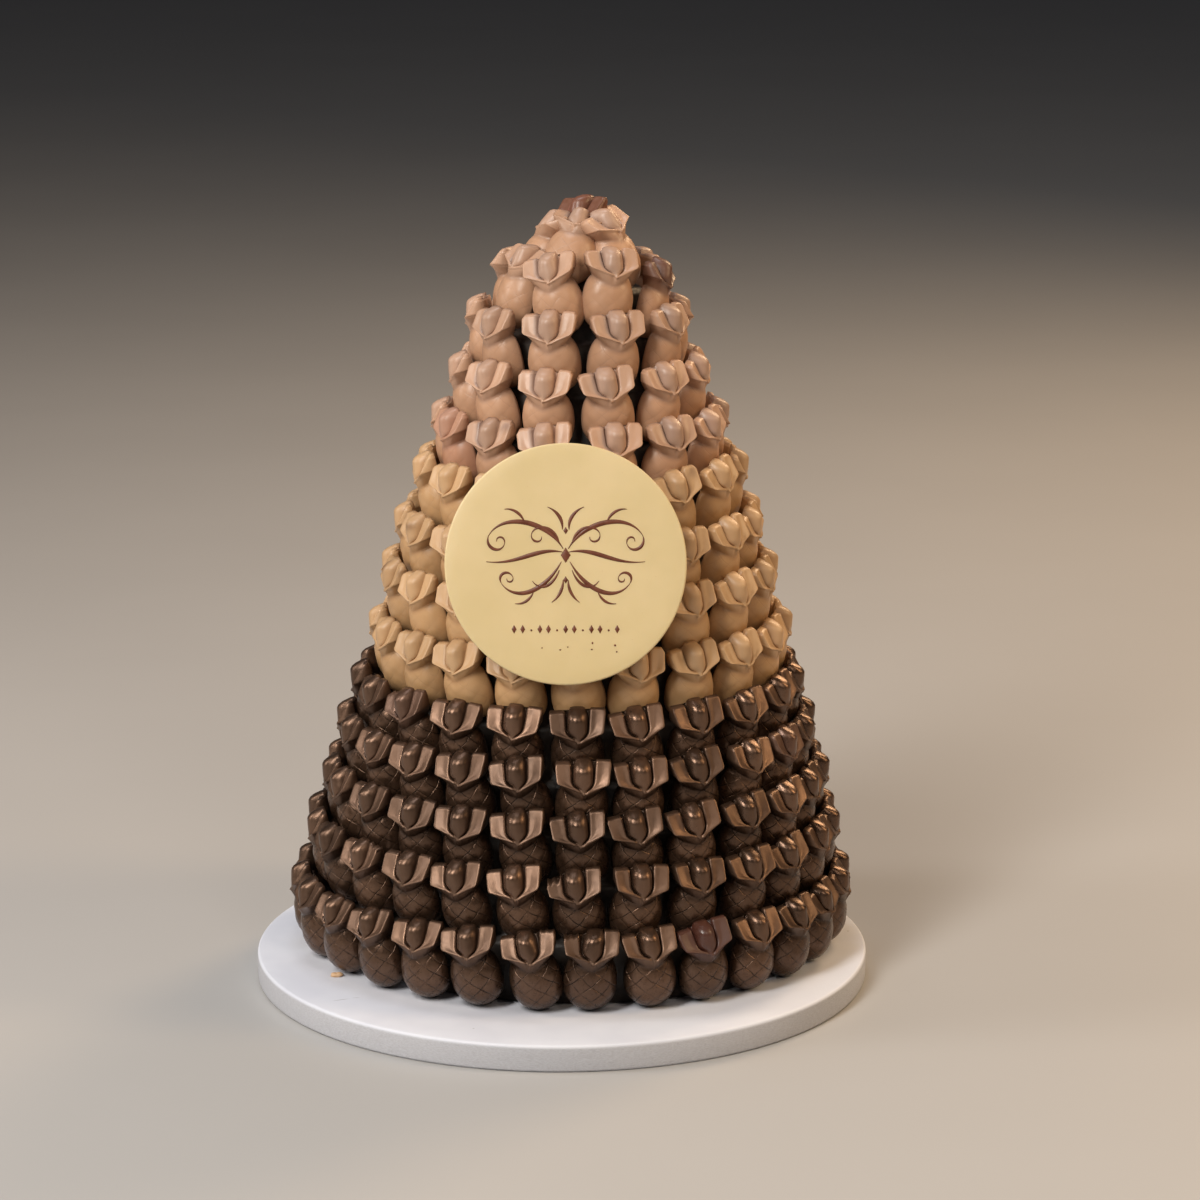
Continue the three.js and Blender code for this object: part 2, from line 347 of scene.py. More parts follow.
# Body rows, half an ellipse each. Half width = widest x sqrt(1 - ((v - belly) / belly)^2) below the
# belly, and above it the same with the power `fullness` and the length `reach`. The lattice's cells
# swell a little between its lines, and the last rows rise to the sides in a V.
def bodyRows(theta):
    m = mould
    lower = m["belly"] * (1 - np.cos(np.radians(90) * np.linspace(0.06, 1, m["lowerRows"])))
    upper = np.linspace(m["belly"], m["neck"], m["upperRows"])[1:]
    v = np.concatenate([lower, upper])[:, None]
    shoulder = np.maximum(v - m["belly"], 0) / (m["neck"] - m["belly"])
    v = v + shoulder * m["neckRise"] * np.sin(np.abs(theta)) ** 1.3
    under = np.sqrt(1 - (np.minimum(v - m["belly"], 0) / m["belly"]) ** 2)
    over = (1 - (np.maximum(v - m["belly"], 0) / m["reach"]) ** m["fullness"]) ** (1 / m["fullness"])
    across = m["widest"] * under * over
    first = theta / np.radians(m["latticeTurn"]) + v / m["latticeRise"]
    second = theta / np.radians(m["latticeTurn"]) - v / m["latticeRise"]
    cell = np.sqrt(np.abs(np.sin(math.pi * first) * np.sin(math.pi * second)))
    shown = smooth(1.5, 5, v) * (1 - smooth(19.5, 23.5, v)) * (1 - smooth(1.1, 1.45, np.abs(theta)))
    swell = 1 + m["pillow"] * shown * (cell - 0.6) / m["widest"]
    u = across * np.sin(theta) * swell
    w = across * m["depth"] / m["widest"] * np.cos(theta) ** 0.9 * swell
    w[:, [0, -1]] = 0
    # Painted shade, 0 to 1: darkest under the crown at the neck, darker towards the foot and on the
    # flanks by the flat back
    paintedShade = (0.8 * smooth(0.8, 1.0, shoulder) + 0.35 * (1 - smooth(0, 9, v))
              + 0.5 * smooth(1.25, 1.55, np.abs(theta)))
    return u, v, w, paintedShade


# Crown rows, r from 0 at the lip to 1 at the leaves' tops. The lip falls in a V to the middle, and
# each column runs straight from lip to top, so that a leaf is a ruled face raised at its outer
# corner. Columns k from the middle: 0 to 6 the rod (half an ellipse), 7 and 8 the pocket beside it,
# 9 and 10 a ridge, 11 to 15 the leaf, 16 to 18 its rounded edge. A chip lowers a leaf's top, a curl
# bends the rod, and the right leaf's foot laps over the left one's.
def crownRows(column, edge, chip, curl):
    m = mould
    k = np.abs(column)
    side = np.where(column < 0, -1.0, 1.0)
    r = crownSteps[:, None]
    level = m["lipMiddle"] + (m["leafTop"] - m["lipMiddle"]) * r
    dome = np.clip((r - 0.74) / 0.26, 0, 1)
    below = np.clip((m["rodFull"] - level) / (m["rodFull"] - m["rodFoot"]), 0, 1)
    rounded = np.sqrt(1 - below ** 2)
    rodHalf = m["rodHalf"] * np.maximum(rounded, 0.2)
    ridge = rodHalf + 0.25 + m["pocketWidth"] * r ** 2
    rodHalf = rodHalf * (1 - 0.22 * dome ** 2)
    edgeU = (m["lowerHalf"] + (m["upperHalf"] - m["lowerHalf"]) * r
             - 0.9 * edge * smooth(0.86, 1.0, r) - 0.6 * edge * (1 - smooth(0, 0.1, r)))
    inner = ridge + 2 * edge + 1.5
    leaf = inner + (edgeU - 0.9 * edge - inner) * np.clip((k - 11) / 4.6, 0, 1)
    u = np.select(
        [k <= 6, k == 7, k == 8, k == 9, k == 10, k <= 15, k == 16],
        [rodHalf * np.sin(math.pi / 2 * k / 6), (rodHalf + ridge) / 2, ridge + 0 * k,
         ridge + edge, ridge + 2 * edge + 0.4, leaf, edgeU - 0.4 * edge], edgeU + 0 * k) * side

    x = np.abs(u) / edgeU
    right = smooth(-0.4, 0.2, u)
    rise = m["lipCorner"] - m["lipMiddle"]
    rightLip = m["lipMiddle"] + rise * x[0] ** 0.95
    leftLip = m["lipMiddle"] + 0.5 + (rise - 0.5) * x[0] ** 0.8
    lip = leftLip + (rightLip - leftLip) * right[0]
    chipped = np.where(column < 0, chip[0], chip[1]) * (k > 9) * (0.75 + 0.25 * np.sin(1.9 * k))
    corner = edge * np.interp(k, [11, 15, 16, 17, 18], [0, 0.2, 0.35, 0.7, 1.1])
    leafTop = m["leafTop"] + m["unequal"] * side - corner
    top = np.select([k <= 6, k <= 8], [m["rodTop"] - 1.9 * (k / 6) ** 3, m["leafTop"] - 1.2],
                    leafTop) - chipped
    v = lip + (top - lip) * r

    lipW = m["lipDepth"] + (m["cornerDepth"] - m["lipDepth"]) * x
    topW = m["topDepth"][0] + (m["topDepth"][1] - m["topDepth"][0]) * x
    steep = (v - lip) / (m["leafTop"] - lip)
    face = lipW + (topW - lipW) * steep
    floor = np.maximum(m["lipDepth"] + (m["topDepth"][0] - m["lipDepth"]) * r - m["pocket"], 0.3)
    rodFront = m["rodDepth"][0] + (m["rodDepth"][1] - m["rodDepth"][0]) * r
    rodFront = face + (rodFront * np.sqrt(1 - 0.93 * dome ** 2.3) - face) * rounded
    rodW = floor + (rodFront - floor) * np.cos(math.pi / 2 * np.minimum(k, 6) / 6) ** 0.85
    middle = np.where(k <= 6, rodW, floor + 0 * k)
    w = np.select([k <= 7, k == 8, k == 9, k == 10, k == 11, k <= 15, k == 16, k == 17],
                  [middle, face - 0.3, face + 0.45, face + 0.4, face + 0.1, face,
                   face - 0.12 * edge, face - 0.6 * edge], 0.0)
    opened = smooth(m["rodFoot"] - 0.5, m["rodFoot"] + 0.9, level)
    w = np.where(k <= 8, face + (w - face) * opened, w)
    near = 1 - smooth(0.0, 0.5, r)
    w = w + m["tongue"] * np.exp(-((u - 1.5) / 3.4) ** 2) * near * right
    w = w - 0.5 * np.exp(-((u + 1.6) / 2.8) ** 2) * near * (1 - right)
    sunk = 0.9 * edge ** 2 * np.sin(math.pi * np.sqrt(r)) * (1 - 0.4 * x)
    w = w - np.where(k >= 9, sunk, 0)
    w = w - edge * 0.35 * np.interp(r, [0, 0.03, 0.07, 0.12], [1, 0.45, 0.12, 0])
    u = u + curl * np.where(k <= 7, r ** 2, 0)
    outermost = k == m["halfColumns"]
    w = np.where(outermost, 0.0, np.maximum(w, 0.15))
    w[0] = np.where(outermost[0], 0.0, w[0] - 0.35 * edge)

    # The rod's field, which carries its painted shade and reflection and its gloss, is heavier on the
    # rod's left side
    rod = opened * np.clip(0.5 - 0.06 * column, 0, 1) * (k <= 9)
    # Painted shade in the pocket beside the rod
    pocket = np.interp(k, [0, 4, 6, 7, 8, 9], [0.0, 0.1, 0.65, 1.0, 0.6, 0.0]) * opened
    return u, v, w, rod, pocket


# Rows from the body's last row to the lip, at the shares s: from the one to the other in a straight
# line outwards and a little slower upwards, with the columns spread over the width as on the lip.
def underRows(body, crown, edge):
    bodyU, bodyV, bodyW = [a[-1] for a in body]
    lipU, lipV, lipW = [a[0] for a in crown]
    s = underSteps[:, None]
    u = bodyU + (lipU - bodyU) * s
    x = u / u[:, -1:]
    neckW = np.interp(x, bodyU / bodyU[-1], bodyW)
    neckV = np.interp(x, bodyU / bodyU[-1], bodyV)
    overV = np.interp(x, lipU / lipU[-1], lipV - 0.3 * edge)
    overW = np.interp(x, lipU / lipU[-1], lipW - 0.8 * edge)
    w = neckW + (overW - neckW) * s
    w[:, [0, -1]] = 0
    return u, neckV + (overV - neckV) * s ** 1.1, w


# One pineapple as a grid, u across, v up its flat back, w out of it: body, the rows under the lip,
# crown, and a last row that closes the crown's top. With it go the fields that the material reads.
def pineapple(edge, chip=(0.0, 0.0), curl=0.0):
    m = mould
    column = np.arange(-m["halfColumns"], m["halfColumns"] + 1)[None, :]
    theta = np.radians(90) * column / m["halfColumns"]
    *body, bodyPaintedShade = bodyRows(theta)
    *crown, rod, pocket = crownRows(column, edge, chip, curl)
    under = underRows(body, crown, edge)
    closing = [crown[0][-1:], crown[1][-1:] + 0.05, 0 * crown[2][-1:]]
    grid = [np.concatenate(rows) for rows in zip(body, under, crown, closing)]

    s = underSteps[:, None] + 0 * theta
    none = 0 * body[0]
    # Painted shade in the crease under the lip, strongest near the neck
    creaseShade = 0.7 * (1 - np.abs(s - 0.2) / 0.8)
    paintedShade = np.concatenate([bodyPaintedShade, creaseShade, pocket, pocket[-1:]])
    uv = np.stack([np.broadcast_to(theta / np.radians(m["latticeTurn"]), grid[0].shape),
                   grid[1] / m["latticeRise"]], 2)
    return dict(
        grid=np.stack(grid, 2), uv=uv, paintedShade=np.clip(paintedShade, 0, 1),
        crown=np.concatenate([none, 0.2 + 0.8 * s, 1 + 0 * crown[0], 1 + 0 * closing[0]]),
        rod=np.concatenate([none, 0 * s, rod, rod[-1:]]))


# Faces of one pineapple: its grid, the flat back as strips between the edge columns, and the caps.
def pineappleFaces(rows, columns):
    left = np.arange(rows - 1) * columns
    right = left + columns - 1
    back = np.stack([left, left + columns, right + columns, right], 1)
    foot, top = tubeCaps(rows, columns)
    return gridQuads(rows, columns), back, foot[None, :], top[None, :]


pyramid = dict(axisX=9.0, axisY=19.5, oval=0.92, boardTop=13.0, rodHeight=35.2, rodDepth=8.5,
               rollPivot=20.0, evening=0.021, roll=3.0, standOff=(0.3, 0.4),
               uneven=dict(roll=6.5, place=0.2, azimuth=0.5, lean=0.9))
rings = [  # name, finish, pieces, radius and height of the rods over the board, lean, first azimuth
    ("dark_tier_1", "dark", 28, 136.6, 33.6, 9, 4.9),
    ("dark_tier_2", "dark", 26, 130.0, 62.3, 14, 2.0),
    ("dark_tier_3", "dark", 25, 123.2, 87.3, 15, 1.6),
    ("dark_tier_4", "dark", 23, 116.2, 110.8, 15, 1.5),
    ("dark_tier_5", "dark", 21, 109.0, 133.4, 15, 0.0),
    ("blond_tier_1", "blond", 20, 101.9, 159.5, 15, -0.5),
    ("blond_tier_2", "blond", 19, 95.9, 187.0, 15, -1.0),
    ("blond_tier_3", "blond", 17, 88.6, 212.0, 15, -4.0),
    ("blond_tier_4", "blond", 15, 79.6, 238.5, 14, -7.0),
    ("milk_tier_1", "milk", 13, 70.9, 261.8, 13, -12.5),
    ("milk_tier_2", "milk", 11, 61.4, 287.0, 12, -17.5),
    ("milk_tier_3", "milk", 9, 53.3, 312.0, 11, -17.0),
    ("milk_tier_4", "milk", 7, 42.2, 337.5, 4, -23.0),
    ("milk_tier_5", "milk", 4, 14.0, 359.0, -32, 0.0),
]
handSet = {  # the top two rings are set piece by piece
    "milk_tier_4": dict(
        azimuth=[-18, 23, 72, 128, 185, -118, -62], radius=[42, 42, 44, 42, 42, 43, 33],
        height=[340, 342.5, 333, 335, 338, 335, 342], lean=[2, 0, 9, -4, -4, 2, -15],
        roll=[11, -4, -7, 3, -4, 5, -6]),
    "milk_tier_5": dict(
        azimuth=[-92, -10, 54, 158], radius=[14, 13, 20, 14], height=[358, 361, 359, 355],
        lean=[-30, -38, -20, -30], roll=[3, -9, 10, 4]),
}
oddPieces = {  # ring and place in it: chipped leaves, curled rods, redness and stained tips
    ("dark_tier_1", 2): dict(redness=1.0, chip=(0.6, 0.0)),
    ("dark_tier_1", 27): dict(curl=-1.5, chip=(0.0, 0.8)),
    ("dark_tier_1", 0): dict(curl=1.8, chip=(1.6, 0.0)),
    ("dark_tier_2", 0): dict(chip=(3.4, 0.0)),
    ("dark_tier_2", 22): dict(chip=(0.0, 2.2)),
    ("dark_tier_4", 4): dict(redness=0.35),
    ("dark_tier_5", 18): dict(chip=(1.8, 0.0), redness=0.25),
    ("blond_tier_1", 19): dict(chip=(0.0, 3.2)),
    ("blond_tier_2", 15): dict(stain=0.8),
    ("blond_tier_3", 14): dict(stain=0.8),
    ("blond_tier_4", 2): dict(stain=0.7),
    ("milk_tier_1", 12): dict(stain=0.8),
    ("milk_tier_1", 11): dict(redness=0.4),
    ("milk_tier_4", 2): dict(stain=1.6, curl=2.4, chip=(0.0, 3.0)),
    ("milk_tier_5", 1): dict(stain=0.5),
}
topPiece = dict(radius=2.0, height=362.5, lean=-4.0, azimuth=-48.0, roll=3.0)
# how far the dark rings stand left of the axis and in front of it
ringShift = {"dark_tier_1": (-4.6, -5.0), "dark_tier_2": (-3.5, -4.0), "dark_tier_3": (-2.5, -3.0),
             "dark_tier_4": (-1.5, -2.0), "dark_tier_5": (-1.0, -1.0)}
# how far the leaves' edges are rounded, millimetres
edges = {"dark": 0.45, "blond": 0.9, "milk": 0.95, "red": 0.7}


# Foot of the flat backs from the place of the rods: rod's radius - height x sin(lean) - depth x
# cos(lean), and board's top + rod's height over it - height x cos(lean) + depth x sin(lean).
def footOf(radius, height, lean):
    tilt = np.radians(lean)
    return (radius - pyramid["rodHeight"] * np.sin(tilt) - pyramid["rodDepth"] * np.cos(tilt),
            pyramid["boardTop"] + height - pyramid["rodHeight"] * np.cos(tilt)
            + pyramid["rodDepth"] * np.sin(tilt))


# Places copies of the pineapple: foot + u x across + v x up + w x outward, for each copy at once,
# after the roll has turned u and v about the pivot. Outward is square to the oval ring.
def placed(grid, radius, height, azimuth, lean, roll):
    azimuth, lean, roll = [np.radians(np.atleast_1d(a)) for a in (azimuth, lean, roll)]
    outX, outY = np.sin(azimuth), -np.cos(azimuth) / pyramid["oval"]
    size = np.hypot(outX, outY)
    outX, outY, zero = outX / size, outY / size, 0 * outX
    across = np.stack([-outY, outX, zero], 1)
    up = np.stack([outX * np.sin(lean), outY * np.sin(lean), np.cos(lean)], 1)
    outward = np.cross(across, up)
    foot = np.stack([pyramid["axisX"] + radius * np.sin(azimuth),
                     pyramid["axisY"] - pyramid["oval"] * radius * np.cos(azimuth), height + zero], 1)
    u, v, w = grid[..., 0], grid[..., 1] - pyramid["rollPivot"], grid[..., 2]
    c, s = np.cos(roll)[:, None, None], np.sin(roll)[:, None, None]
    u, v = u * c - v * s, u * s + v * c + pyramid["rollPivot"]
    axes = [a[:, None, None, :] for a in (across, up, outward, foot)]
    return u[..., None] * axes[0] + v[..., None] * axes[1] + w[..., None] * axes[2] + axes[3]


# A ring: the mould's grid once for each piece, joined into one mesh. Each is a little larger or
# smaller (1 + 0.012 x sine), and its relief drifts by a slow wander, less on the crown. Redness keeps
# to the crowns of dark pieces, and a stain to the leaves' tips.
def ringPiece(name, finish, shapes, radius, height, azimuth, lean, roll, fields, shift=(0.0, 0.0)):
    count = len(azimuth)
    grid = np.stack([shape["grid"] for shape in shapes])
    rows, columns = grid.shape[1:3]
    phase = (np.arange(count) * 1.3 + np.atleast_1d(height) % 7)[:, None, None]
    crown = np.stack([shape["crown"] for shape in shapes])
    drift = (0.2 - 0.16 * crown) * wander(grid[..., 0] / 4, grid[..., 1] / 5, phase)
    grid = grid * (1 + 0.012 * np.sin(7 * phase))[..., None]
    grid[..., 2] = np.where(grid[..., 2] > 0.3, grid[..., 2] + drift, grid[..., 2])
    points = placed(grid, radius, height, azimuth, lean, roll) + np.array([*shift, 0.0])
    faceSets = [np.concatenate([f + i * rows * columns for i in range(count)])
                for f in pineappleFaces(rows, columns)]
    uv = np.stack([shape["uv"] for shape in shapes])
    made = {key: np.stack([shape[key] for shape in shapes]) for key in ("paintedShade", "crown", "rod")}
    made.update({key: np.broadcast_to(value[:, None, None], grid.shape[:3])
                 for key, value in fields.items()})
    patches = smooth(0.1, 0.9, wander(grid[..., 0] / 2, grid[..., 1] / 2, phase))
    tips = smooth(33, 40, grid[..., 1]) * patches
    made["redness"] = made["redness"] * (made["crown"] if finish == "dark" else 1)
    made["stain"] = np.clip(made["stain"] * (tips + 0.7 * (made["stain"] > 1) * made["crown"]), 0, 1)
    piece = meshPiece(name, points, faceSets, uv, made)
    piece.data.materials.append(finishes[finish])
    return piece


# Ring number r. Its azimuths go round in equal steps, a little evened for the oval by a sine of
# twice the angle, and each piece's place, lean and roll are uneven by its own share.
def ringOf(r, node, finish, count, radius, height, lean, firstAzimuth):
    i = np.arange(count)
    amount = pyramid["uneven"]
    even = np.radians(firstAzimuth + i * 360 / count)
    given = dict(radius=radius, height=height, lean=lean,
                 azimuth=np.degrees(even - pyramid["evening"] * np.sin(2 * even)),
                 roll=pyramid["roll"] + amount["roll"] * unevenness(r, i, 4))
    given.update(handSet.get(node, {}))
    given = {key: np.broadcast_to(np.asarray(value, float), (count,)) for key, value in given.items()}
    footRadius, footHeight = footOf(given["radius"], given["height"], given["lean"])
    odd = [oddPieces.get((node, j), {}) for j in range(count)]
    shapes = [pineapple(edges[finish], one.get("chip", (0.0, 0.0)), one.get("curl", 0.0))
              for one in odd]
    fields = dict(tone=unevenness(r, i, 5),
                  redness=np.array([one.get("redness", 0.0) for one in odd]),
                  stain=np.array([one.get("stain", 0.0) for one in odd]))
    return ringPiece(node.replace("_tier_", "Ring"), finish, shapes,
                     footRadius + pyramid["standOff"][0] + amount["place"] * unevenness(r, i, 0),
                     footHeight + pyramid["standOff"][1] + amount["place"] * unevenness(r, i, 1),
                     given["azimuth"] + amount["azimuth"] * unevenness(r, i, 2),
                     given["lean"] + amount["lean"] * unevenness(r, i, 3), given["roll"], fields,
                     ringShift.get(node, (0.0, 0.0)))


for r, ring in enumerate(rings):
    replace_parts(ringOf(r, *ring), ring[0])
print("rings made")

topFoot = footOf(topPiece["radius"], topPiece["height"], topPiece["lean"])
crownPiece = ringPiece("topPineapple", "red", [pineapple(edges["red"])], topFoot[0], topFoot[1],
                       [topPiece["azimuth"]], topPiece["lean"], topPiece["roll"],
                       dict(tone=np.zeros(1), redness=np.zeros(1), stain=np.zeros(1)))
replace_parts(crownPiece, "top_pineapple")

core = dict(inset=0.6, shoulder=2.5, chamfer=1.2, lift=0.4, lastStep=3.0, sides=72, uneven=0.004,
            tip=[(16.0, 7.0), (8.0, 17.0), (0.6, 19.0)])  # tip: radius and height over the last step


# Core profile: one upright step behind each ring's flat backs, with a chamfer at its top, and a
# blunt tip.
def coreProfile():
    floor = pyramid["boardTop"] + 0.2
    feet = [footOf(ring[3], ring[4], ring[5]) for ring in rings]
    ends = [height for radius, height in feet[1:]] + [feet[-1][1] + core["lastStep"]]
    profile = [(1.0, floor)]
    for (radius, height), stepTop in zip(feet, ends):
        radius = radius - core["inset"]
        profile += [(radius, max(height, floor) + core["lift"]), (radius, stepTop - core["shoulder"]),
                    (radius - core["chamfer"], stepTop - 0.5)]
    top = profile[-1][1]
    return profile + [(radius, top + height) for radius, height in core["tip"]]


# Rough dark chocolate, lighter on its slow waves, and darkened to near black as painted shade for the
# gaps between the pieces.
def coreMaterial():
    material, n, shader, place = newMaterial("coreChocolateInShade")
    grain = n.add("ShaderNodeGroup", node_tree=chocolateGrain, Place=place, Grain=900.0).outputs
    light = n.ramp(grain["Waves"], 0.35, 0.7)
    # Near black: painted shade for the gaps between the pieces
    colour = n.mix(light, (0.012, 0.008, 0.006), (0.036, 0.026, 0.020))
    n.put(shader.inputs["Base Color"], colour)
    n.put(shader.inputs["Roughness"], n.ramp(grain["Mottle"], 0.3, 0.7, (0.45, 0.7)))
    bump = n.add("ShaderNodeBump", Strength=0.6, Distance=0.0015, Height=grain["Waves"])
    n.put(shader.inputs["Normal"], bump.outputs[0])
    return material


coreCone = turned("core", coreProfile(), core["sides"], (pyramid["axisX"], pyramid["axisY"]),
                  pyramid["oval"], core["uneven"])
coreCone.data.materials.append(coreMaterial())
print("core made")

board = dict(
    radius=150.0, thickness=13.0, bevel=1.4, sides=160, markColour=(0.16, 0.14, 0.14),
    marks=[  # a scratch and specks: place, turn, half length, half width, strength
        (-104.0, -86.0, 22.0, 4.8, 0.35, 0.55), (-97.0, -83.0, 14.0, 2.2, 0.3, 0.4),
        (139.5, 27.0, 0.0, 0.9, 0.8, 0.75), (142.5, 17.0, 30.0, 0.7, 0.6, 0.6),
        (136.0, 12.0, 0.0, 0.5, 0.5, 0.5), (-40.0, -126.0, 0.0, 0.6, 0.5, 0.5)])


# Profile of a flat disc: underside, a quarter-round at each edge and top, as (radius, height).
# The radii below and above are where the flat faces get their rings of points.
def discProfile(radius, thickness, bevel, below, above):
    turn = np.radians(np.linspace(0, 90, 5))
    out = radius - bevel + bevel * np.concatenate([np.sin(turn), np.cos(turn)])
    up = np.concatenate([bevel - bevel * np.cos(turn), thickness - bevel + bevel * np.sin(turn)])
    return np.stack([np.concatenate([below, out, above]),
                     np.concatenate([[0] * len(below), up, [thickness] * len(above)])], 1)


# White board, a little cloudy and tinted blue as painted cool light, its side greyer and fibrous. A
# mark is dark within its ellipse, where the length of the place turned and scaled into it is under 1.
def boardMaterial():
    material, n, shader, place = newMaterial("whiteBoard")
    height = n.add("ShaderNodeSeparateXYZ", Vector=place).outputs["Z"]
    top = board["thickness"] * mm
    edge = n.ramp(height, top - 0.0004, top - 0.0022)
    fibre = n.noise(n.add("ShaderNodeMapping", Vector=place, Scale=(1, 1, 4)).outputs[0], 700, 4, 0.7)
    cloud = n.noise(place, 22, 3)
    # Painted light: the top's blue tint stands in for cool light
    colour = n.mix(n.ramp(cloud, 0.3, 0.7), (0.66, 0.68, 0.76), (0.72, 0.74, 0.81))
    side = n.mix(n.ramp(fibre, 0.3, 0.75), (0.56, 0.57, 0.61), (0.44, 0.44, 0.47))
    colour = n.mix(edge, colour, side)
    for x, y, turn, halfLength, halfWidth, strength in board["marks"]:
        own = n.add("ShaderNodeMapping", vector_type="TEXTURE", Vector=place,
                    Location=(x * mm, y * mm, top), Rotation=(0, 0, math.radians(turn)),
                    Scale=(halfLength * mm, halfWidth * mm, mm)).outputs[0]
        away = n.add("ShaderNodeVectorMath", operation="LENGTH", Vector=own).outputs["Value"]
        colour = n.mix(n.ramp(away, 1.1, 0.5, (0.0, strength)), colour, board["markColour"])
    n.put(shader.inputs["Base Color"], colour)
    n.put(shader.inputs["Roughness"], n.ramp(cloud, 0.3, 0.7, (0.48, 0.62)))
    relief = n.math("MULTIPLY", fibre, n.math("ADD", n.math("MULTIPLY", edge, 0.9), 0.1))
    bump = n.add("ShaderNodeBump", Strength=0.5, Distance=0.0004, Height=relief)
    n.put(shader.inputs["Normal"], bump.outputs[0])
    return material


boardProfile = discProfile(board["radius"], board["thickness"], board["bevel"], [0.5, 60, 120],
                           [138, 120, 90, 60, 30, 0.5])
boardDrum = turned("boardDrum", boardProfile, board["sides"])
boardDrum.data.materials.append(boardMaterial())
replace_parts(boardDrum, "board")

crumb = dict(place=(-108.0, -52.0), half=(3.4, 1.9, 1.1), rows=9, sides=14)


# Crumb on the board: an ellipsoid, x = half x cos(up) x sin(turn) and so on, its radius uneven by a
# slow wander, with small caps at its poles.
def crumbPiece():
    c = crumb
    up = np.linspace(-0.96, 0.96, c["rows"])[:, None] * math.pi / 2
    turn = np.arange(c["sides"])[None, :] * 2 * math.pi / c["sides"]
    size = 1 + 0.28 * wander(2 * turn + up, 3 * up - turn, 1.7)
    x = c["place"][0] + c["half"][0] * size * np.cos(up) * np.sin(turn)
    y = c["place"][1] - c["half"][1] * size * np.cos(up) * np.cos(turn)
    z = board["thickness"] + c["half"][2] * (0.8 + size * np.sin(up))
    faces = [tubeQuads(c["rows"], c["sides"]), tubeCaps(c["rows"], c["sides"])]
    return meshPiece("boardCrumb", np.stack([x, y, z + 0 * turn], 2), faces)


# Pale chocolate crumb, cloudy and dull.
def crumbMaterial():
    material, n, shader, place = newMaterial("crumbChocolate")
    cloud = n.ramp(n.noise(place, 600, 3), 0.3, 0.7)
    n.put(shader.inputs["Base Color"], n.mix(cloud, (0.50, 0.30, 0.16), (0.64, 0.44, 0.27)))
    n.put(shader.inputs["Roughness"], n.ramp(cloud, 0.0, 1.0, (0.5, 0.7)))
    return material


boardCrumb = crumbPiece()
boardCrumb.data.materials.append(crumbMaterial())
print("board made")

disc = dict(radius=56.5, thickness=4.0, lean=16.0, back=(2.8, -66.9, 220.7), edge=0.9, sides=128)


# Point of the disc's own frame, x right, y up its face, z out of it, put in the part's frame: the
# middle of its back plus y and z turned back by the lean.
def onDisc(x, y, z):
    tilt = math.radians(disc["lean"])
    return np.stack([disc["back"][0] + x,
                     disc["back"][1] + y * math.sin(tilt) - z * math.cos(tilt),
                     disc["back"][2] + y * math.cos(tilt) + z * math.sin(tilt)], -1)


# The disc: its profile turned about its own z, x = radius x sin(angle), y = -radius x cos(angle).
def discPiece():
    profile = discProfile(disc["radius"], disc["thickness"], disc["edge"], [0.5, 28],
                          [50, 40, 30, 20, 10, 0.5])
    rows, sides = len(profile), disc["sides"]
    radius, height = profile[:, :1], profile[:, 1:]
    angle = np.arange(sides) * 2 * math.pi / sides
    points = onDisc(radius * np.sin(angle), -radius * np.cos(angle), height + 0 * angle)
    return meshPiece("plaqueDisc", points, [tubeQuads(rows, sides), tubeCaps(rows, sides)])


# White chocolate: cream, a little cloudy and seen into, with a few brown specks.
def discMaterial():
    material, n, shader, place = newMaterial("whiteChocolate")
    grain = n.add("ShaderNodeGroup", node_tree=chocolateGrain, Place=place).outputs
    cloud = n.noise(place, 30, 3)
    colour = n.mix(n.ramp(cloud, 0.3, 0.7), (0.655, 0.52, 0.275), (0.70, 0.555, 0.305))
    speck = n.ramp(n.noise(place, 900, 1), 0.74, 0.80)
    colour = n.mix(n.math("MULTIPLY", speck, 0.35), colour, (0.55, 0.38, 0.2))
    n.put(shader.inputs["Base Color"], colour)
    n.put(shader.inputs["Roughness"], n.ramp(cloud, 0.3, 0.7, (0.36, 0.46)))
    shader.inputs["Subsurface Weight"].default_value = 0.12
    shader.inputs["Subsurface Radius"].default_value = (0.004, 0.003, 0.0015)
    bump = n.add("ShaderNodeBump", Strength=0.15, Distance=0.0008, Height=grain["Waves"])
    n.put(shader.inputs["Normal"], bump.outputs[0])
    return material


